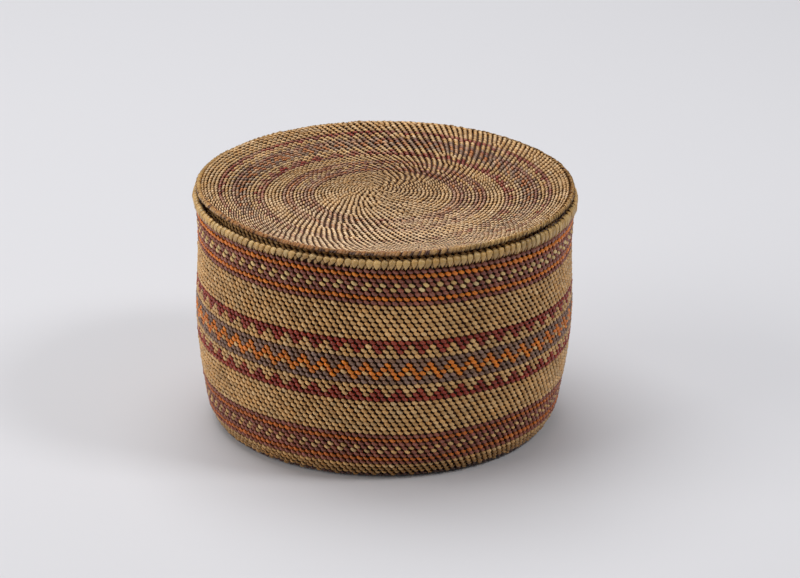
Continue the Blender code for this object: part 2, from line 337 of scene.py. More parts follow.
# The last round of the lid lies over the inner side of its edge.
LID_CHART = (
    ["n"] * 19
    + ["p", "a", "p", "np", "pn", "n", "p", "a", "p"]
    + ["n"] * 5
    + ["r", "rrn", "rnn", "n", "ng", "agg", "aag", "ag", "p", "ng", "n", "nnr", "r"]
    + ["n"] * 5
)
assert len(WALL_CHART) == WALL_ROUNDS and len(LID_CHART) == LID_ROUNDS + 1


def dyed(chart, column):
    """The colour of each stitch: the letter of the round's word at its column, which repeats.

    The dye takes a little differently on each strip. So its red, green and blue are multiplied by the
    exponential of one small seeded number, the blue most and the red least, which moves it between warm
    and cool.
    """
    letters = np.array([DYES[letter] for letter in chart])
    uneven = np.exp(DYE_SPREAD * rng.normal(0, 1, (len(column), 1)))
    return letters[np.mod(np.int64(column), len(chart))] * uneven


print("dyes:", len(DYES), "rounds of the wall:", len(WALL_CHART), "and of the lid:", len(LID_CHART))

# %% [markdown]
# A piece gathers its strips and surfaces in one mesh. The colour, the tone of each strip, the place along
# and across the grass and the height of the crown go in as attributes, which the material reads.

# %% Putting arrays into a mesh
LAYERS = (("dye", "FLOAT_COLOR", "color"), ("tone", "FLOAT", "value"),
          ("strand", "FLOAT_VECTOR", "vector"), ("crown", "FLOAT", "value"))


def joined(parts):
    """Several sets of arrays as one, with the faces of each moved on past the points before it."""
    starts = np.cumsum([0] + [len(part["points"]) for part in parts])
    whole = {name: np.concatenate([np.asarray(part[name]).reshape(len(part["points"]), -1) for part in parts])
             for name in ("points", "dye", "tone", "strand", "crown")}
    whole["faces"] = [faces + start for part, start in zip(parts, starts) for faces in part["faces"]]
    return whole


def make_piece(name, parts, body, material, nodes=()):
    """A mesh object from arrays, which rides on a body and may stand for CAD nodes."""
    whole = joined(parts)
    mesh = bpy.data.meshes.new(name)
    points = whole["points"]
    sizes = np.concatenate([np.full(len(faces), faces.shape[1]) for faces in whole["faces"]])
    corners = np.concatenate([faces.ravel() for faces in whole["faces"]])
    mesh.vertices.add(len(points))
    mesh.vertices.foreach_set("co", points.astype(np.float32).ravel())
    mesh.loops.add(len(corners))
    mesh.loops.foreach_set("vertex_index", corners.astype(np.int32))
    mesh.polygons.add(len(sizes))
    mesh.polygons.foreach_set("loop_start", np.concatenate([[0], np.cumsum(sizes)[:-1]]).astype(np.int32))
    mesh.polygons.foreach_set("loop_total", sizes.astype(np.int32))
    mesh.polygons.foreach_set("use_smooth", np.ones(len(sizes), bool))
    mesh.update(calc_edges=True)
    for label, kind, field in LAYERS:
        layer = mesh.attributes.new(label, kind, "POINT")
        values = whole[label]
        if kind == "FLOAT_COLOR":
            values = np.concatenate([values, np.ones((len(points), 1))], 1)
        layer.data.foreach_set(field, values.astype(np.float32).ravel())
    mesh.materials.append(material)
    piece = bpy.data.objects.new(name, mesh)
    bpy.context.scene.collection.objects.link(piece)
    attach(piece, body)
    if nodes:
        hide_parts(*nodes)
    print(f"{name}: {int((sizes - 2).sum())} triangles")


# %% [markdown]
# The warps and the roll of the lid's edge are smooth forms behind the stitches. Blender's Screw modifier
# could turn an outline into each, but the arrays are as short, and they carry the same attributes.

# %% A surface turned round the axis
TURNED_COLUMNS = 336
TURNED_TONE = 0.5
# A turned surface's crown height, which sets how much of the grass's painted shade it takes
TURNED_CROWN = 0.4


def turned(outline, dye):
    """A surface turned round the axis: each point of the outline is a ring, and a radius of 0 is a pole.

    The outline runs so that, on the outer side, it goes upward. A closed outline repeats its first point.
    It may be the same all round, or have its own radius and height for each column.
    """
    columns = TURNED_COLUMNS
    outline = np.asarray(outline, float)
    if outline.ndim == 2:
        outline = np.repeat(outline[:, None], columns, axis=1)
    angle = np.arange(columns) / columns * TURN - math.pi
    closed = np.allclose(outline[0], outline[-1]) and outline[0, 0, 0] > 0
    rings = outline[:-1] if closed else outline
    first_pole = rings[0, 0, 0] == 0
    last_pole = rings[-1, 0, 0] == 0
    body = rings[int(first_pole):len(rings) - int(last_pole)]
    radius, height = body[..., 0], body[..., 1]
    points = np.stack([radius * np.cos(angle), radius * np.sin(angle), height], -1).reshape(-1, 3)
    levels = len(body)
    level = np.arange(levels if closed else levels - 1)[:, None]
    column = np.arange(columns)[None]
    above = (level + 1) % levels
    beside = (column + 1) % columns
    faces = [np.stack([level * columns + column, level * columns + beside,
                       above * columns + beside, above * columns + column], -1).reshape(-1, 4)]
    column, beside = column.ravel(), beside.ravel()
    if first_pole:
        points = np.concatenate([points, [[0, 0, rings[0, 0, 1]]]])
        faces.append(np.stack([column * 0 + len(points) - 1, beside, column], -1))
    if last_pole:
        points = np.concatenate([points, [[0, 0, rings[-1, 0, 1]]]])
        top = (levels - 1) * columns
        faces.append(np.stack([column * 0 + len(points) - 1, top + column, top + beside], -1))
    count = len(points)
    return {
        "points": points,
        "faces": faces,
        "dye": np.broadcast_to(dye, (count, 3)),
        "tone": np.full(count, TURNED_TONE),
        "strand": points / MM,
        "crown": np.full(count, TURNED_CROWN),
    }


print("a turned surface has", TURNED_COLUMNS, "columns")

# %% [markdown]
# Node trees are easier to read as formulas. The class below wraps a socket, so that a + b or 1 - mask adds
# the Math node that does it. Every other node comes from one method.

# %% Shader maths as Python


class Value:
    """An output socket of a material that can be added, subtracted and multiplied."""

    def __init__(self, shader, socket):
        self.shader = shader
        self.socket = socket

    def math(self, operation, first, second):
        return self.shader.add("ShaderNodeMath", {"operation": operation}, {0: first, 1: second})

    def __add__(self, other):
        return self.math("ADD", self, other)

    __radd__ = __add__

    def __mul__(self, other):
        return self.math("MULTIPLY", self, other)

    __rmul__ = __mul__

    def __sub__(self, other):
        return self.math("SUBTRACT", self, other)

    def __rsub__(self, other):
        return self.math("SUBTRACT", other, self)


class Shader:
    """A material and its node tree."""

    def __init__(self, name):
        self.material = bpy.data.materials.new(name)
        self.material.use_nodes = True
        self.tree = self.material.node_tree
        self.tree.nodes.clear()

    def add(self, kind, settings=None, inputs=None, output=0):
        """Adds a node, sets its settings, then fills its sockets with numbers or links."""
        node = self.tree.nodes.new(kind)
        for name, value in (settings or {}).items():
            setattr(node, name, value)
        for name, value in (inputs or {}).items():
            if isinstance(value, Value):
                self.tree.links.new(value.socket, node.inputs[name])
            else:
                node.inputs[name].default_value = value
        return Value(self, node.outputs[output]) if node.outputs else None

    def attribute(self, name, output):
        """What a piece's mesh says at each point."""
        return self.add("ShaderNodeAttribute", {"attribute_name": name}, output=output)

    def mix(self, factor, first, second, blend="MIX"):
        """Mixes two colours."""
        return self.add("ShaderNodeMix", {"data_type": "RGBA", "blend_type": blend, "clamp_factor": True},
                        {0: factor, 6: first, 7: second}, 2)

    def scaled(self, vector, by):
        """A colour or vector times a number."""
        return self.add("ShaderNodeVectorMath", {"operation": "SCALE"}, {0: vector, "Scale": by})

    def noise(self, vector, scale, detail, roughness):
        """Cloudy values between 0 and 1, mostly near a half."""
        return self.add("ShaderNodeTexNoise", {}, {"Vector": vector, "Scale": scale, "Detail": detail,
                                                    "Roughness": roughness}, "Fac")

    def between(self, value, low, high):
        """0 below low, 1 above high and a smooth climb between."""
        return self.add("ShaderNodeMapRange", {"interpolation_type": "SMOOTHSTEP"},
                        {"Value": value, "From Min": low, "From Max": high})

    def finish(self, **sockets):
        """The surface: each name is a socket of the Principled shader, with _ for a space."""
        inputs = {name.replace("_", " "): value for name, value in sockets.items()}
        surface = self.add("ShaderNodeBsdfPrincipled", {}, inputs)
        self.add("ShaderNodeOutputMaterial", {}, {"Surface": surface})
        return self.material


# %% [markdown]
# Grass has a soft gloss and fine streaks along each strip. The dye takes unevenly from strip to strip,
# it has faded on the crowns where hands rub them, and the tucked ends are painted dark with shade. One
# function makes three grasses: the wall's, the lid's, more worn and with more painted shade, and the
# dull one inside.

# %% The grass
FADED_GRASS = (*swatch(222, 196, 152), 1.0)
# The brown of the painted shade in the crevices where the ends of stitches tuck in
CREVICE_SHADE = (0.5, 0.26, 0.09, 1.0)
STREAK_STRETCH = (0.35, 5.0, 1.0)
# The height of the crown from which fading starts, and the patches that it spares
FADED_FROM = 0.55
FADED_PATCHES = (0.3, 0.75)
STREAK_ROUGHNESS = 0.25
STREAK_DEPTH = 0.12 * MM


def grass_material(name, gloss, fading, crevice_shade, coat, shade_ends_at):
    """Streaks follow the strand, tone changes from strip to strip, crowns fade and tucked ends darken.

    The brightness is the strip's tone plus shares of three noises, each less a half. Painted shade goes
    from full at a crown height of 0 to none at the crown height given by the last argument.
    """
    shader = Shader(name)
    dye = shader.attribute("dye", "Color")
    tone = shader.attribute("tone", "Fac")
    crown = shader.attribute("crown", "Fac")
    strand = shader.attribute("strand", "Vector")
    place = shader.add("ShaderNodeTexCoord", output="Object")
    stretched = shader.add("ShaderNodeVectorMath", {"operation": "MULTIPLY"}, {0: strand, 1: STREAK_STRETCH})
    streak = shader.noise(stretched, scale=1.6, detail=3.0, roughness=0.6)
    patches = shader.noise(place, scale=55.0, detail=3.0, roughness=0.6)
    drift = shader.noise(place, scale=16.0, detail=2.0, roughness=0.5)

    bright = 0.66 + 0.34 * tone + 0.44 * (streak - 0.5) + 0.34 * (drift - 0.5) + 0.3 * (patches - 0.5)
    colour = shader.scaled(dye, bright)
    worn_share = shader.between(crown, FADED_FROM, 1.0) * fading * shader.between(patches, *FADED_PATCHES)
    colour = shader.mix(worn_share, colour, FADED_GRASS)
    # Painted shade: the low, tucked parts of each stitch are multiplied with a brown
    unshaded_share = shader.between(crown, 0.0, shade_ends_at)
    colour = shader.mix(unshaded_share, shader.mix(crevice_shade, colour, CREVICE_SHADE, "MULTIPLY"), colour)
    bump = shader.add("ShaderNodeBump", {}, {"Strength": 0.35, "Distance": STREAK_DEPTH, "Height": streak})
    return shader.finish(Base_Color=colour, Roughness=gloss + STREAK_ROUGHNESS * (1.0 - streak), Normal=bump,
                         Coat_Weight=coat, Coat_Roughness=0.3)


# The lid's grass gets the most painted shade in its crevices, the grass inside the least
wall_grass = grass_material("wall_grass", gloss=0.3, fading=0.08, crevice_shade=0.75, coat=0.25, shade_ends_at=0.5)
lid_grass = grass_material("lid_grass", gloss=0.3, fading=0.26, crevice_shade=1.0, coat=0.15, shade_ends_at=0.8)
inner_grass = grass_material("inner_grass", gloss=0.45, fading=0.15, crevice_shade=0.5, coat=0.0, shade_ends_at=0.55)
print("grasses:", wall_grass.name, lid_grass.name, inner_grass.name)

# %% [markdown]
# The warps are split bark, dull and dark brown. Little of it shows, so two noises are enough: a coarse one
# for blotches and a fine one for fibres, which the bump reads too.

# %% The bark
DEEP_BROWN = (*swatch(44, 24, 10), 1.0)
BARK_BROWN = (*swatch(92, 54, 26), 1.0)
BLOTCHES = (0.3, 0.75)
FIBRE_SHARE = 0.3
FIBRE_DEPTH = 0.15 * MM

shader = Shader("bark")
place = shader.add("ShaderNodeTexCoord", output="Object")
blotch = shader.noise(place, scale=300.0, detail=4.0, roughness=0.65)
fibre = shader.noise(place, scale=1500.0, detail=2.0, roughness=0.5)
brown = shader.mix(shader.between(blotch + FIBRE_SHARE * (fibre - 0.5), *BLOTCHES), DEEP_BROWN, BARK_BROWN)
bump = shader.add("ShaderNodeBump", {}, {"Strength": 0.4, "Distance": FIBRE_DEPTH, "Height": fibre})
bark = shader.finish(Base_Color=brown, Roughness=0.8, Normal=bump)
print("materials:", [m.name for m in bpy.data.materials])

# %% [markdown]
# The warps stand under the stitches. They show only as darkness in the slots between stitches, so one
# closed cup stands for them all, a little inside the crowns of the outer rounds and a little outside
# those of the cavity.

# %% The warps of the basket
OUTER_DEPTH = 1.2 * MM
WALL_THICKNESS = 2.2 * MM
INNER_DEPTH = 0.75 * MM
CUP_UNDER = 0.95 * MM
CUP_FLOOR = 1.75 * MM
HEEL_INSET = 3.2 * MM
FLOOR_INSET = 5.0 * MM
CUP_LEVELS = 60
LEVELS_OVER_FLOOR = 3


def wall_line(heights, inset):
    """Points of the wall's course at the given heights, each moved in by the inset."""
    return np.stack([course(heights) - inset, heights], -1)


heights = np.linspace(1.0 * MM, wall_top - 0.9 * MM, CUP_LEVELS)
cup_outline = np.concatenate([
    [[0, CUP_UNDER], [course(0.0) - HEEL_INSET, CUP_UNDER]],
    wall_line(heights, OUTER_DEPTH),
    wall_line(heights[::-1], WALL_THICKNESS - INNER_DEPTH)[:-LEVELS_OVER_FLOOR],
    [[course(0.0) - FLOOR_INSET, CUP_FLOOR], [0, CUP_FLOOR]],
])
make_piece("warp_cup_bark", [turned(cup_outline, BARK_AND_SHADE_BROWN)], "basket", bark, ["warp_cup"])

# %% [markdown]
# The rounds of the wall are not level: they step down in front, where one ends and the next begins, and on
# the right the upper ones lie low and the lower ones high, because the maker pulled the weft tighter there.
# Noise would bend them too, but anywhere. A small table of drops says where, and a smooth wave on top of it
# keeps the rounds from looking ruled. The wall isn't quite round either, but stands out a little on the
# left, most of all at the foot.

# %% How level the rounds lie
# How far a round lies below its level place, in millimetres: a line for each round named, a number for
# each place round the wall
LOW_PLACES = np.radians((-160, -140, -120, -105, -90, -75, -60, -40, -20, 90))
LOW_ROWS = (0, 3, 8, 18, 31, 41, 46, 51)
LOW_DROP = MM * np.array([
    (0.1, 0.0, -0.1, 0.0, 0.2, 0.2, 0.2, 0.3, 0.3, 0.2),
    (0.1, 0.0, -0.15, -0.05, 0.5, 0.6, 0.8, 1.8, 2.0, 0.5),
    (0.4, 0.3, 0.15, 0.0, 0.75, 1.25, 1.2, 2.2, 2.4, 0.8),
    (0.4, 0.1, -0.1, 0.05, 0.55, 0.95, 0.9, 1.6, 1.9, 0.8),
    (-0.2, -0.2, -0.15, 0.1, 0.6, 0.75, 0.7, 0.9, 0.7, 0.2),
    (0.6, 0.35, 0.05, 0.2, 0.85, 1.2, 0.6, 0.3, 0.5, 0.5),
    (0.8, 0.15, 0.05, -0.1, 0.4, 1.1, 0.0, -0.6, -0.5, 0.3),
    (0.0, 0.0, 0.0, 0.0, 0.0, 0.0, 0.0, 0.0, 0.0, 0.0),
])
# How far the rounds named stand out at one place of the wall
BULGE_PLACE = math.radians(-165)
BULGE_ROWS = (0, 6, 20, 36, 42, 47, 52)
BULGE = np.array([0.0, 0.0, 0.1, 0.3, 0.4, 0.8, 1.0]) * MM


def sway(angle, row, size):
    """Three slow waves, with 2, 5 and 11 crests round the wall, that change little from round to round."""
    return size * (np.sin(2 * angle + 0.05 * row + 1.0) + 0.6 * np.sin(5 * angle - 0.09 * row + 4.0)
                   + 0.4 * np.sin(11 * angle + 0.16 * row + 2.0))


def lowering(angle, row):
    """How far a round lies below its level place, in metres, read between the table's lines and places."""
    line = np.interp(row, LOW_ROWS, np.arange(len(LOW_ROWS)))
    above = min(int(line), len(LOW_ROWS) - 2)
    drops = (above + 1 - line) * LOW_DROP[above] + (line - above) * LOW_DROP[above + 1]
    return np.interp(angle, LOW_PLACES, drops, period=TURN)


print("the rounds lie low by up to", LOW_DROP.max() / MM, "mm and high by up to", -LOW_DROP.min() / MM)

# %% [markdown]
# The wall has 168 stitches in every round. Each round starts two fifths of a stitch further on than the one
# above, which makes the slanting columns that the eye follows across the plain fields. A round is made by
# one function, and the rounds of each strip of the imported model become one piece.

# %% The rounds of the wall
COLUMNS = 168
DRIFT = 0.43
FIRST_COLUMN = math.radians(-116.5)
HEIGHT_SWAY = 0.06 * MM
RADIUS_SWAY = 0.05 * MM
LOWEST_MIDDLE = 0.72 * MM


def wall_round(row):
    """The stitches of one round of the wall, between its own lowered upper and lower edge."""
    column = np.arange(COLUMNS)
    angle = FIRST_COLUMN + (column + DRIFT * row) / COLUMNS * TURN
    edges = [wall_top - (row + share) * round_rise - lowering(angle, row + share) for share in (0, 0.5, 1)]
    height = np.maximum(edges[1] + sway(angle, row, HEIGHT_SWAY), LOWEST_MIDDLE)
    bulge = np.interp(row, BULGE_ROWS, BULGE) * np.clip(np.cos(angle - BULGE_PLACE), 0, 1) ** 2
    radius = course(height) + bulge + sway(angle + 1.0, row, RADIUS_SWAY)
    tilt = -np.arctan(course_slope(height))
    pitch = radius * TURN / COLUMNS
    rise = edges[0] - edges[2]
    return weave(angle, radius, height, tilt, pitch, rise, dyed(WALL_CHART[row], column), OUTER)


def band(place, checked):
    """The seven strips of a dyed band, with the number of rounds and the material slot of each."""
    return [(f"{place}_band_purple_1", 1, "purple_grass"), (f"{place}_band_orange_1", 1, "orange_grass"),
            (f"{place}_band_purple_2", 1, "purple_grass"), (f"{place}_band_check", checked, "checked_grass"),
            (f"{place}_band_purple_3", 1, "purple_grass"), (f"{place}_band_orange_2", 1, "orange_grass"),
            (f"{place}_band_purple_4", 1, "purple_grass")]


def make_strips(strips, first, one_round, body, material):
    """A piece for each strip of rounds, counted on from the first round."""
    for node, count, slot in strips:
        rounds = [one_round(row) for row in range(first, first + count)]
        make_piece(node + "_stitches", rounds, body, material, [node])
        first += count


# The two rounds above the first strip are the rim's.
RIM_ROUNDS = 2
WALL_STRIPS = [
    *band("upper", 2),
    ("upper_natural_field", 8, "natural_grass"),
    ("middle_band_red_top", 4, "red_grass"),
    ("middle_band_grey_orange", 7, "grey_grass"),
    ("middle_band_red_bottom", 3, "red_grass"),
    ("lower_natural_field", 8, "natural_grass"),
    *band("lower", 2),
    ("foot_natural_field", 3, "natural_grass"),
    ("heel_round", 1, "dark_grass"),
]
make_strips(WALL_STRIPS, RIM_ROUNDS, wall_round, "basket", wall_grass)

# %% [markdown]
# The rim is finished with a braid. On the left it shows as a row of bright teeth with a small diamond under
# each gap, on the right as long plump teeth alone. A stitch with one slant can't make one, so each strand
# gets a bent path: out of the mouth, over the edge and down to a point that tucks in. The diamonds are
# short strands of their own, which grow narrow where the teeth are long, painted darker as shade under the
# teeth. Each strand is painted dark as shade where it comes out of the mouth, and one more round of plain
# stitches, painted dark all over as shade, lies inside the mouth.

# %% The rim braid
# The course of a tooth and of a diamond. Each row of numbers is one point of the strand: how far it lies
# inside the rim's radius, its drop, its place along the rim and its half width, in millimetres.
TOOTH = np.array([(2.2, 1.0, 0.8, 0.7), (1.5, 0.3, 0.55, 0.9), (0.95, 0.04, 0.25, 0.95),
                  (0.55, 0.16, 0.05, 1.02), (0.36, 0.4, -0.08, 1.0), (0.32, 0.66, -0.15, 0.8),
                  (0.4, 0.92, -0.2, 0.5), (0.62, 1.15, -0.25, 0.25), (1.1, 1.3, -0.25, 0.08)])
DIAMOND = np.array([(1.3, 0.7, 0.2, 0.2), (0.85, 0.95, 0.15, 0.5), (0.66, 1.35, 0.05, 0.76),
                    (0.62, 1.75, -0.1, 0.66), (0.72, 2.15, -0.2, 0.4), (1.2, 2.4, -0.25, 0.12)])
LONG_FROM = math.radians(-112)
LONG_TO = math.radians(-98)
TOOTH_START = 0.35
BRAID_DROP = 0.3 * MM
BRAID_ROUND = 1.8
BRAID_THICK = 0.34 * MM
# A strand faces into the mouth at its first point, upward at the fourth and outward from the fifth on
FACING_POINTS = (0, 3, 4)
FACING_DEGREES = (120, 35, 0)
# The share of a strand's length over which its painted shade gives way to its dye
BRAID_DARK = 0.25
# How much strands differ: slant, width and thickness as shares, the rest in millimetres
BRAID_LOOSE = {"slant": 0.3, "aside": 0.08, "inside": 0.05, "drop": 0.07, "width": 0.07, "thick": 0.1}
MOUTH_INSET = 2.5 * MM
MOUTH_DROP = 1.5 * MM
MOUTH_RISE = 1.2


def longness(angle):
    """0 on the left, where the teeth are short, and 1 from the front to the right and round the back."""
    return np.clip((angle - LONG_FROM) / (LONG_TO - LONG_FROM), 0, 1)


def rim_strands(column, course_table, growth, narrowing, letter):
    """One bent strand for each column. Where the teeth are long, its drop grows and its width changes."""
    slack = rng.normal(0, 1, (6, len(column)))[:, :, None]
    angle = FIRST_COLUMN + (column + TOOTH_START) / COLUMNS * TURN
    long = longness(angle)[:, None]
    inside, drop, aside, half_width = course_table.T
    moved = aside * (1 + BRAID_LOOSE["slant"] * slack[0]) + BRAID_LOOSE["aside"] * slack[1]
    turn = angle[:, None] + moved * MM / rim_radius
    radius = rim_radius - (inside + BRAID_LOOSE["inside"] * slack[2]) * MM
    lower = lowering(angle, BRAID_ROUND)[:, None] * drop / drop[-1]
    height = wall_top - BRAID_DROP - drop * (1 + growth * long) * MM - lower
    height = height + BRAID_LOOSE["drop"] * MM * slack[3]
    facing = np.radians(np.interp(np.arange(len(drop)), FACING_POINTS, FACING_DEGREES)) + 0 * turn
    path, _, _, out = lay(turn, radius, height, facing)
    sideways = np.cross(out, np.gradient(path, axis=1))
    place = np.linspace(0, 1, len(drop))
    wide = half_width * MM * (1 + BRAID_LOOSE["width"] * slack[4]) * (1 + narrowing * long * place ** 2)
    thick = BRAID_THICK * (1 + BRAID_LOOSE["thick"] * slack[5]) + 0 * wide
    # Painted shade: a strand is dark where it comes out of the mouth, and its dye shows further on
    shown = np.clip(place / BRAID_DARK, 0, 1)[None, :, None] ** 2
    dye = shown * dyed(letter, column)[:, None] + (1 - shown) * BARK_AND_SHADE_BROWN
    return ribbons(path, sideways, wide, thick, SECTION_FINE, dye, rng.random(len(column)))


rim_column = np.arange(COLUMNS)
mouth_radius = rim_radius - MOUTH_INSET
# The round inside the mouth is painted dark all over, as shade under the rim
mouth_round = weave(rim_column / COLUMNS * TURN, mouth_radius, wall_top - MOUTH_DROP, math.pi,
                    mouth_radius * TURN / COLUMNS, round_rise * MOUTH_RISE,
                    np.broadcast_to(BARK_AND_SHADE_BROWN, (COLUMNS, 3)), HIDDEN)
teeth = rim_strands(rim_column, TOOTH, growth=0.75, narrowing=0.45, letter="b")
# The diamonds take the darker e, which is painted shade under the teeth
diamonds = rim_strands(rim_column + 0.5, DIAMOND, growth=0.0, narrowing=-0.9, letter="e")
braid = [teeth, diamonds, mouth_round]
make_piece("rim_braid_strands", braid, "basket", wall_grass, ["rim_braid"])

# %% [markdown]
# Rounds on a disc need more and more stitches. A weaver adds a warp wherever the gap grows too wide. The
# function below does the same: each round takes the angles of the last one, moves them on a third of a
# stitch, puts new ones into the widest gaps and evens them out, so that columns branch as real ones do.

# %% Rounds that grow outward
DISC_DRIFT = 0.34
EVENING_TIMES = 5


def growing_rounds(radii, stitch, start, drift, hold=(), limit=None):
    """The angles of the stitches of each round, from the middle outward, with their own pitch.

    A round on the hold list keeps the number of the last one, and no round has more than the limit. New
    stitches go into the widest gaps, after each gap is multiplied by a seeded number from 0.6 to 1.4.
    Then each angle moves halfway to the mean of its neighbours, a few times.
    """
    angles = np.arange(start) / start * TURN
    rounds = []
    for number, radius in enumerate(radii):
        wanted = len(angles) if number in hold else round(TURN * radius / stitch)
        if limit:
            wanted = min(wanted, limit)
        gaps = np.diff(np.append(angles, angles[0] + TURN))
        extra = min(max(0, wanted - len(angles)), len(angles))
        if extra:
            widest = np.argsort(gaps * (0.6 + 0.8 * rng.random(len(gaps))))[-extra:]
            angles = np.sort(np.concatenate([angles, angles[widest] + gaps[widest] / 2]))
        for _ in range(EVENING_TIMES):
            around = np.concatenate([[angles[-1] - TURN], angles, [angles[0] + TURN]])
            angles = 0.5 * angles + 0.25 * (around[:-2] + around[2:])
        around = np.concatenate([[angles[-1] - TURN], angles, [angles[0] + TURN]])
        rounds.append((angles.copy(), (around[2:] - around[:-2]) / 2))
        angles = angles + drift * TURN / len(angles)
    return rounds


print("each round of a disc starts", DISC_DRIFT, "of a stitch further on than the last")

# %% [markdown]
# The lid is a disc of 50 rounds and one more over the inner side of its edge. They are further apart at
# the back than at the front, because their centres lie forward of the lid's middle.

# %% Where the lid's rounds lie
LID_STITCH = 1.95 * MM
LID_FIRST = 5
# Rounds that keep the last one's number of stitches, so that their pattern stays in line with it
LID_HOLD = (22, 23, 34, 35, 38, 39, 44)
EDGE_ROUND_OUT = 0.45 * MM
# The start lies a little to the left too, which fades out within this radius
START_SIDE = -3.0 * MM
START_REACH = 12 * MM
lid_radii = np.append((np.arange(LID_ROUNDS) + 0.5) * lid_round_pitch, lid_field_radius + EDGE_ROUND_OUT)
lid_rounds = growing_rounds(lid_radii, LID_STITCH, LID_FIRST, DISC_DRIFT, LID_HOLD)
print("stitches in every tenth round of the lid:", [len(angles) for angles, step in lid_rounds][::10])

# %% [markdown]
# Years of handling have worn the dye off the lid, most of all in front, and bent it a little. The wear could
# be a mask in the material, but then it would cut through stitches. Here each stitch has its own share. Light
# is painted on too: the lid is darker across the middle and lighter in front and at the back.

# %% How the lid is bent and worn, and its painted light
SWELL = 0.12 * MM
SWELL_DROP = 0.25 * MM
SWELL_ACROSS = 13 * MM
SWELL_DEEP = 17 * MM
FRONT_FROM = 0.1
WORN_LEAST = 0.1
WORN_FRONT = 0.72
WORN_SPREAD = 0.18
WORN_MOST = 0.95
# Painted light on the lid: how bright it is painted across the middle, and how much more in front and at the
# back
MIDDLE_LIGHT = 0.79
FRONT_LIGHT = 0.44
BACK_LIGHT = 0.22


def lid_swell(x, y):
    """The lid's slow rise and fall, in metres, from its level: one wave across and one front to back."""
    return SWELL * (np.sin(x / SWELL_ACROSS + 1.0) + np.sin(y / SWELL_DEEP + 2.0)) - SWELL_DROP


def wear_and_painted_light(dye, y):
    """The dye mixed with pale grass, by a share that grows towards the front and differs between stitches.

    The whole is then painted with light: darkest across the middle, lighter in front and at the back.
    """
    front = np.clip(FRONT_FROM - y / lid_radius, 0, 1)
    share = WORN_LEAST + WORN_FRONT * front + WORN_SPREAD * rng.normal(0, 1, len(dye))
    share = np.clip(share, 0, WORN_MOST)[:, None]
    # Painted light: the lid is darker across the middle and lighter in front and at the back
    light = MIDDLE_LIGHT + FRONT_LIGHT * front + BACK_LIGHT * np.clip(y / lid_radius, 0, 1)
    return (dye * (1 - share) + DYES["w"] * share) * light[:, None]


print("the lid's middle lies lower than its level by, in mm:", round(-lid_swell(0.0, 0.0) / MM, 2))

# %% [markdown]
# The lid's stitches stand a little higher and straighter than the wall's, because its rounds lie flat and
# open. One function makes a round, as on the wall.

# %% The rounds of the lid
LID_LOOK = {**OUTER, "height": 0.62 * MM, "thick": 0.32 * MM, "reach": 0.62, "lean": 0.25, "width": 0.47}


def lid_round(row):
    """The stitches of one round of the lid, with the room between rounds that its drift leaves."""
    angle, step = lid_rounds[row]
    radius = lid_radii[row]
    forward = float(lid_drift(radius))
    aside = START_SIDE * math.exp(-radius / START_REACH)
    x = radius * np.cos(angle) + aside
    y = radius * np.sin(angle) - forward
    height = lid_top + lid_swell(x, y)
    rise = lid_round_pitch * (1 - float(lid_drift_slope(radius)) * np.sin(angle))
    dye = wear_and_painted_light(dyed(LID_CHART[row], np.arange(len(angle))), y)
    return weave(angle, radius, height, math.pi / 2, step * radius, rise, dye, LID_LOOK, (aside, -forward))


LID_STRIPS = [
    ("lid_start", 4, "natural_grass"),
    ("lid_center_field", 15, "natural_grass"),
    *band("lid", 3),
    ("lid_inner_field", 5, "natural_grass"),
    ("lid_ring_red_inner", 3, "red_grass"),
    ("lid_ring_grey", 2, "grey_grass"),
    ("lid_ring_orange", 3, "orange_grass"),
    ("lid_ring_purple", 3, "purple_grass"),
    ("lid_ring_red_outer", 2, "red_grass"),
    ("lid_outer_field", 5, "natural_grass"),
]
make_strips(LID_STRIPS, 0, lid_round, "lid", lid_grass)

# %% [markdown]
# The lid's warps run out from its start under all the rounds, and show only as the dark between stitches.
# As in the basket, one closed form stands for them: a thin disc between the upper rounds and the lower.

# %% The warps of the lid
disc_low = lid_bottom + 0.75 * MM
disc_high = lid_top - 1.4 * MM
lid_disc = [[0, disc_low], [lid_field_radius, disc_low], [lid_field_radius, disc_high], [0, disc_high]]
make_piece("lid_warps_bark", [turned(lid_disc, BARK_AND_SHADE_BROWN)], "lid", bark, ["lid_warp_disc"])

# %% [markdown]
# The lid's edge is a narrow roll: strips of grass are wrapped round the ends of the warps. The edge is
# golden and nearly smooth on the right and at the back. In front its face is brown with dark strips
# between, and at the left of the front it is worn back, so that the gap over the rim is wider there. A
# torus would be as round everywhere, so the roll is an ellipse whose place and height change along the
# edge, and each strip takes its path from the same function.

# %% The course of the lid's edge
ROLL_WIDE = 0.62 * MM
ROLL_TALL = edge_roll_radius - 0.3 * MM
BACK_DROP = 0.75 * MM
FRONT_PLACE = math.radians(-118)
FRONT_REACH = math.radians(36)
FRONT_FULL = 1.6
WORN_PLACE = math.radians(-142)
WORN_REACH = math.radians(24)
WORN_BACK = 1.2 * MM
# How much higher the edge lies in front and where it is worn, in millimetres
FRONT_LIFT = 0.2
WORN_LIFT = 0.35


def frontness(angle):
    """1 over the front and the left of the front, 0 at the right and at the back, smooth between."""
    return np.clip(FRONT_FULL - np.abs(angle - FRONT_PLACE) / FRONT_REACH, 0, 1)


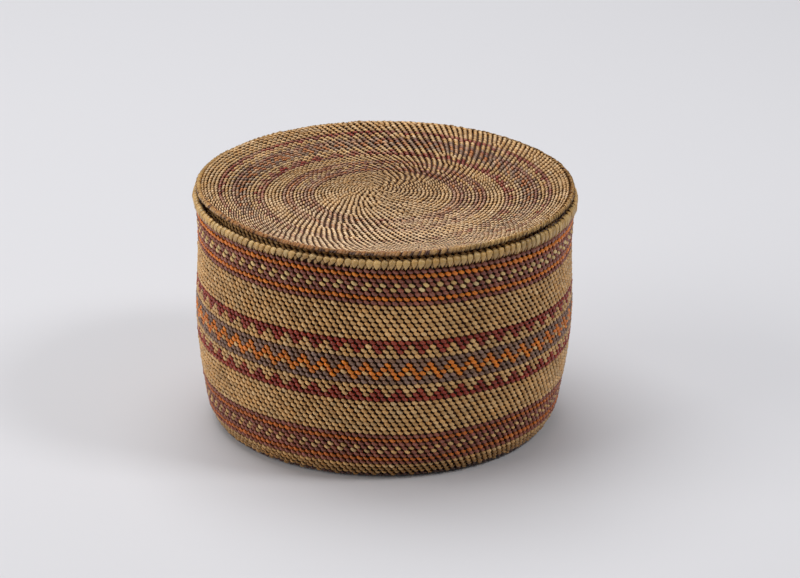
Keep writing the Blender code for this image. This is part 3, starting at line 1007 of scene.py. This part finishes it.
def edge_line(angle, small, inset):
    """Radius, height and facing of the roll at an angle round the lid and one round its small ellipse."""
    wear = np.exp(-((angle - WORN_PLACE) / WORN_REACH) ** 2)
    radius = lid_radius - ROLL_WIDE - WORN_BACK * wear + (ROLL_WIDE - inset) * np.cos(small)
    lift = (FRONT_LIFT * frontness(angle) + WORN_LIFT * wear) * MM
    middle = edge_roll_height + lift - BACK_DROP * np.clip(2 * np.sin(angle), 0, 1)
    height = middle + (ROLL_TALL - inset) * np.sin(small)
    return radius, height, np.arctan2(ROLL_WIDE * np.sin(small), ROLL_TALL * np.cos(small))


print("height of the edge over the rim, in mm:", round((edge_roll_height + ROLL_TALL - wall_top) / MM, 2))

# %% [markdown]
# The strips go round the roll on a slant, wide and close on the right and narrower in front, where the
# dark ones lie between them. They start hidden under the edge and end on the lid.

# %% The wrapped edge of the lid
WRAP_STEP = 0.95 * MM
WRAP_POINTS = 9
WRAP_FROM = -100
WRAP_REACH = 250
WRAP_SHORTER = 95
WRAP_SLANT = 2.1 * MM
WRAP_SINK = 0.14 * MM
WRAP_THICK = 0.12 * MM
WRAP_LEAN = 0.12
WRAP_LOOSE = {"slant": 0.25, "sink": 0.05 * MM, "width": 0.15, "place": 0.2}
WRAP_NARROWING = 0.2
# The shares of a strip's length at which it comes out of the dark and, in front, turns pale
SHADE_END = 0.02
SHADE_FRONT = 0.16
SHADE_REACH = 0.28
PALE_FROM = 0.7
PALE_REACH = 0.25
DEEP_SHADE = 0.5
EDGE_BROWN = swatch(178, 118, 60)
# How many strips are dark, as shares, and the strips' half widths in millimetres
DARK_LEAST = 0.1
DARK_FRONT = 0.34
DARK_WIDTH = 0.32
PALE_WIDTH = 0.95
FRONT_NARROWER = 0.4


def edge_wraps(angle, wide, dye):
    """Strips round the roll, which move along the edge while they go round its small ellipse.

    In front they end below the top of the roll, so that its pale upper side shows as a line.
    """
    share = np.linspace(0, 1, WRAP_POINTS)
    slack = rng.normal(0, 1, (3, len(angle)))[:, :, None]
    reach = WRAP_REACH - WRAP_SHORTER * frontness(angle)[:, None]
    small = np.radians(WRAP_FROM + reach * share)
    slant = WRAP_SLANT * (1 + WRAP_LOOSE["slant"] * slack[0])
    turn = angle[:, None] + slant * (share - 0.5) * reach / WRAP_REACH / lid_radius
    radius, height, facing = edge_line(turn, small, WRAP_SINK + WRAP_LOOSE["sink"] * slack[1])
    path, along, _, out = lay(turn, radius, height, facing)
    ends = 1 - WRAP_NARROWING * np.abs(2 * share - 1) ** 4
    wide = wide[:, None] * (1 + WRAP_LOOSE["width"] * slack[2]) * ends
    shaded = SHADE_END + SHADE_FRONT * frontness(angle)[:, None, None]
    shown = np.clip((share[None, :, None] - shaded) / SHADE_REACH, 0, 1) ** 2
    pale = frontness(angle)[:, None, None] * np.clip((share - PALE_FROM) / PALE_REACH, 0, 1)[None, :, None]
    dye = shown * dye[:, None] + (1 - shown) * DEEP_SHADE * BARK_AND_SHADE_BROWN
    dye = dye * (1 - pale) + DYES["n"] * pale
    thick = WRAP_THICK + 0 * wide
    return ribbons(path, WRAP_LEAN * out - along, wide, thick, SECTION_PLAIN, dye, rng.random(len(angle)))


count = int(TURN * lid_radius / WRAP_STEP)
angle = (np.arange(count) + WRAP_LOOSE["place"] * rng.normal(0, 1, count)) / count * TURN - math.pi
in_front = frontness(angle)
strip_dye = DYES["b"] * (1 - in_front[:, None]) + EDGE_BROWN * in_front[:, None]
dark_strip = rng.random(count) < DARK_LEAST + DARK_FRONT * in_front
strip_dye[dark_strip] = DYES["d"]
strip_width = np.where(dark_strip, DARK_WIDTH, PALE_WIDTH - FRONT_NARROWER * in_front) * MM
wraps = edge_wraps(angle, strip_width, strip_dye)
print("strips round the edge:", count, "of them dark:", int(dark_strip.sum()))

# %% [markdown]
# Under the strips lies the roll itself, which shows in the gaps between them and as a pale line on top.
# It is the same ellipse, a little smaller, turned with its own radius and height at each column. Its
# colour darkens from the top down, as the light between the strips does.

# %% The roll under the wraps
ROLL_SINK = 0.26 * MM
ROLL_DEGREES = np.arange(-180, 181, 22.5)
ROLL_LIGHT = 0.35
ROLL_DARKEST = 0.06
roll_angle = np.arange(TURNED_COLUMNS) / TURNED_COLUMNS * TURN - math.pi
roll_small = np.radians(ROLL_DEGREES)[:, None]
roll_radius, roll_height, _ = edge_line(roll_angle[None], roll_small, ROLL_SINK)
roll_light = np.clip(ROLL_LIGHT + np.sin(roll_small[:-1]), ROLL_DARKEST, 1)
roll_dye = roll_light[..., None] * DYES["b"] + 0 * roll_angle[:, None]
roll = turned(np.stack([roll_radius, roll_height + 0 * roll_radius], -1), roll_dye.reshape(-1, 3))
make_piece("lid_edge_wraps", [wraps, roll], "lid", lid_grass, ["lid_edge_roll"])

# %% [markdown]
# A flange under the lid stands in the mouth and keeps the lid in place. It shows when the lid is lifted.
# It is twined on both faces over its own thin ring of bark, and a selvedge of three rounds, outside, under
# and inside, closes its lower edge. Hidden stitches have fewer faces.

# %% The flange
FLANGE_COLUMNS = 165
FLANGE_ROUNDS = 9
FLANGE_INSIDE = 1.75 * MM
SELVEDGE_UNDER = 0.9 * MM
SELVEDGE_RISE = 1.5 * MM
flange_radius = flange_high.x
core_outer = flange_radius - 0.7 * MM
core_inner = flange_radius - 1.05 * MM
core_top = lid_bottom + 0.8 * MM


def ring_rounds(levels, radius, tilt, rise, chart):
    """Rounds of one radius at several heights, each started further on than the last."""
    column = np.arange(FLANGE_COLUMNS)
    pitch = radius * TURN / FLANGE_COLUMNS
    return [weave((column + DRIFT * number) / FLANGE_COLUMNS * TURN, radius, level, tilt, pitch, rise,
                  dyed(chart, column), HIDDEN) for number, level in enumerate(levels)]


flange_levels = np.linspace(flange_high.z - 0.4 * MM, flange_low.z + 0.6 * MM, FLANGE_ROUNDS)
flange_rise = flange_levels[0] - flange_levels[1]
flange_parts = ring_rounds(flange_levels, flange_radius, 0.0, flange_rise, "n")
flange_parts += ring_rounds(flange_levels[::-1], flange_radius - FLANGE_INSIDE, math.pi, flange_rise, "n")
make_piece("lid_flange_weft", flange_parts, "lid", inner_grass, ["lid_flange"])
flange_core = [[core_inner, flange_low.z], [core_outer, flange_low.z], [core_outer, core_top],
               [core_inner, core_top], [core_inner, flange_low.z]]
make_piece("lid_flange_warps", [turned(flange_core, BARK_AND_SHADE_BROWN)], "lid", bark)

selvedge = []
selvedge_side = selvedge_high.z - 0.6 * MM
for level, radius, degrees in ((selvedge_side, flange_radius, -10),
                               (selvedge_low.z, flange_radius - SELVEDGE_UNDER, -90),
                               (selvedge_side, flange_radius - FLANGE_INSIDE, -170)):
    selvedge += ring_rounds([level], radius, math.radians(degrees), SELVEDGE_RISE, "b")
make_piece("lid_flange_selvedge_braid", selvedge, "lid", inner_grass, ["lid_flange_selvedge"])

# %% [markdown]
# The lid's underside shows the other face of its rounds. Nobody sees it until the lid is lifted, so plain
# level rounds of hidden stitches stand for it, on a disc that grows outward as the lid's upper face does.

# %% The underside of the lid
UNDER_STITCH = 2.3 * MM
UNDER_PITCH = 1.3 * MM
UNDER_FIRST = 4


def disc_weft(radii, pitch, height, facing, stitch, start, limit=None):
    """Hidden stitches on a flat disc, from the middle outward, that face up for 1 and down for -1."""
    rounds = growing_rounds(radii, stitch, start, facing * DISC_DRIFT, limit=limit)
    return [weave(angle, radius, height, facing * math.pi / 2, step * radius, pitch,
                  dyed("n", np.arange(len(angle))), HIDDEN) for radius, (angle, step) in zip(radii, rounds)]


under_radii = np.arange(0.6 * MM, lid_field_radius, UNDER_PITCH)
under = disc_weft(under_radii, UNDER_PITCH, lid_bottom, -1, UNDER_STITCH, UNDER_FIRST)
make_piece("lid_under_weft", under, "lid", inner_grass)

# %% [markdown]
# Inside, the wall is twined as outside but undyed. The outer course, moved in by the wall's thickness,
# gives its radius and lean at each height. Two pieces hold it, so that neither gets too heavy.

# %% The cavity wall
CAVITY_PITCH = 1.6 * MM
cavity_levels = np.arange(wall_top - 3.2 * MM, cup_bottom + 2.6 * MM, -CAVITY_PITCH)
cavity_parts = []
column = np.arange(COLUMNS)
for number, level in enumerate(cavity_levels):
    angle = (column - DRIFT * number) / COLUMNS * TURN
    radius = course(level) - WALL_THICKNESS
    tilt = math.pi + np.arctan(course_slope(level))
    cavity_parts.append(weave(angle, radius, level, tilt, radius * TURN / COLUMNS, CAVITY_PITCH,
                              dyed("n", column), HIDDEN))
half = len(cavity_parts) // 2
make_piece("cavity_wall_upper_weft", cavity_parts[:half], "basket", inner_grass)
make_piece("cavity_wall_lower_weft", cavity_parts[half:], "basket", inner_grass)

# %% [markdown]
# The floor inside and the base underneath are the two faces of one disc of rounds, which grows outward
# from the plaited start in the middle. The same function as for the lid's underside makes both.

# %% The floor and the base
FLOOR_STITCH = 2.2 * MM
FLOOR_PITCH = 1.4 * MM
FLOOR_FIRST = 38
BASE_HEIGHT = 0.16 * MM
floor_top = cup_bottom + 1.0 * MM
floor_radii = np.arange(start_radius, course(3 * MM) - 3.0 * MM, FLOOR_PITCH)
floor = disc_weft(floor_radii, FLOOR_PITCH, floor_top, 1, FLOOR_STITCH, FLOOR_FIRST)
make_piece("cavity_floor_weft", floor, "basket", inner_grass)
base_radii = np.arange(start_radius, course(0.0) - 1.0 * MM, FLOOR_PITCH)
base = disc_weft(base_radii, FLOOR_PITCH, BASE_HEIGHT, -1, FLOOR_STITCH, FLOOR_FIRST, limit=COLUMNS)
make_piece("base_rounds_weft", base, "basket", inner_grass, ["base_rounds"])

# %% [markdown]
# The base starts with a round patch of plaited bark, over one and under one. Each strip is a wave along
# its length, and the crossing strips have the opposite wave.

# %% The plaited start
PLAIT_STEP = 2.3 * MM
PLAIT_POINTS = 33
PLAIT_SWING = 0.22 * MM
PLAIT_WIDE = 1.1 * MM
PLAIT_THICK = 0.2 * MM
PLAIT_BARK = swatch(120, 84, 52)
PLAIT_REACH = start_radius - 0.3 * MM
# The outermost strips are as long as if they lay at this share of the reach
PLAIT_FURTHEST = 0.98


def plait(middle, facing):
    """Strips both ways, each a cosine wave that goes over one crossing and under the next.

    A strip's half length is the root of the reach squared less its distance from the middle squared.
    """
    places = np.arange(-int(PLAIT_REACH / PLAIT_STEP), int(PLAIT_REACH / PLAIT_STEP) + 1)
    offset = places * PLAIT_STEP
    half = np.sqrt(PLAIT_REACH ** 2 - np.minimum(np.abs(offset), PLAIT_REACH * PLAIT_FURTHEST) ** 2)
    run = half[:, None] * np.linspace(-1, 1, PLAIT_POINTS)
    wave = PLAIT_SWING * np.cos(run / PLAIT_STEP * math.pi) * np.where(places % 2, 1, -1)[:, None]
    side = offset[:, None] + 0 * run
    first = np.stack([run, side, middle + facing * wave], -1)
    second = np.stack([side, run, middle - facing * wave], -1)
    path = np.concatenate([first, second[:, ::-1]])
    sideways = np.zeros_like(path)
    sideways[:len(places), :, 1] = facing
    sideways[len(places):, :, 0] = facing
    count = len(path)
    return ribbons(path, sideways, np.full(path.shape[:2], PLAIT_WIDE), np.full(path.shape[:2], PLAIT_THICK),
                   SECTION_PLAIN, np.broadcast_to(PLAIT_BARK, (count, 3)), rng.random(count))


make_piece("base_start_plait", [plait(0.5 * MM, -1)], "basket", inner_grass, ["base_start"])
make_piece("cavity_floor_plait", [plait(floor_top - 0.45 * MM, 1)], "basket", inner_grass)

# %% [markdown]
# The basket stands on a pale table that runs out of the picture on all sides, so its edge never shows. A
# curved backdrop would do the same, but the camera looks down, and a flat sheet is enough.

# %% The table
TABLE_REACH = 4.0
table_mesh = bpy.data.meshes.new("table")
table_corners = [(x * TABLE_REACH, y * TABLE_REACH, 0) for x, y in ((-1, -1), (1, -1), (1, 1), (-1, 1))]
table_mesh.from_pydata(table_corners, [], [(0, 1, 2, 3)])
table = bpy.data.objects.new("table", table_mesh)
bpy.context.scene.collection.objects.link(table)
paper = Shader("paper")
table_mesh.materials.append(paper.finish(Base_Color=(*swatch(214, 214, 218), 1.0), Roughness=0.9))
print("table:", 2 * TABLE_REACH, "metres square")

# %% [markdown]
# Three soft lamps light it: a big one high over the back, which lights the lid, a big one low on the left,
# whose shadow falls to the right, and a small one on the right that gives the glints. The world gives the
# rest as plain fill.

# %% The lamps
WHITE = (1.0, 1.0, 1.0)
WARM_WHITE = (1.0, 0.98, 0.95)
world = bpy.data.worlds.new("studio")
world.use_nodes = True
fill = world.node_tree.nodes["Background"]
fill.inputs["Color"].default_value = (0.97, 0.97, 1.0, 1.0)
fill.inputs["Strength"].default_value = 0.17
bpy.context.scene.world = world


def lamp(name, place, target, size, power, colour):
    """A square soft lamp at a place, turned towards a target."""
    data = bpy.data.lights.new(name, "AREA")
    data.shape = "SQUARE"
    data.size = size
    data.energy = power
    data.color = colour
    light = bpy.data.objects.new(name, data)
    light.location = place
    light.rotation_euler = (Vector(target) - Vector(place)).to_track_quat("-Z", "Y").to_euler()
    bpy.context.scene.collection.objects.link(light)
    print(name, "at", place, "power", power)


lamp("top_lamp", place=(-0.2, 0.36, 1.1), target=(0, 0, 0.03), size=1.0, power=10.5, colour=WHITE)
lamp("left_lamp", place=(-1.05, -0.35, 0.55), target=(0, 0, 0.03), size=0.9, power=6.6, colour=WARM_WHITE)
lamp("right_lamp", place=(0.8, -0.25, 0.95), target=(0, 0, 0.05), size=0.3, power=4.3, colour=WHITE)

# %% [markdown]
# The camera looks down at the basket from in front through a long lens, as in a product photograph. It
# aims at the middle of the basket, and a small shift of the lens sets the basket's place in the frame.

# %% The camera
CAMERA_DISTANCE = 1.4
CAMERA_ELEVATION = math.radians(22.2)
CAMERA_ROLL = math.radians(0.4)
middle = Vector((0, 0, wall_top / 2))
back = Vector((0, -math.cos(CAMERA_ELEVATION), math.sin(CAMERA_ELEVATION)))
camera_data = bpy.data.cameras.new("camera")
camera_data.lens = 201.0
camera_data.sensor_width = 36.0
camera_data.shift_x = 0.0194
camera_data.shift_y = 0.0152
camera = bpy.data.objects.new("camera", camera_data)
camera.location = middle + back * CAMERA_DISTANCE
camera.rotation_mode = "QUATERNION"
camera.rotation_quaternion = (-back).to_track_quat("-Z", "Y") @ Quaternion((0, 0, 1), CAMERA_ROLL)
bpy.context.scene.collection.objects.link(camera)
bpy.context.scene.camera = camera
bpy.context.scene.view_settings.view_transform = "Standard"
print("camera at", camera.location)
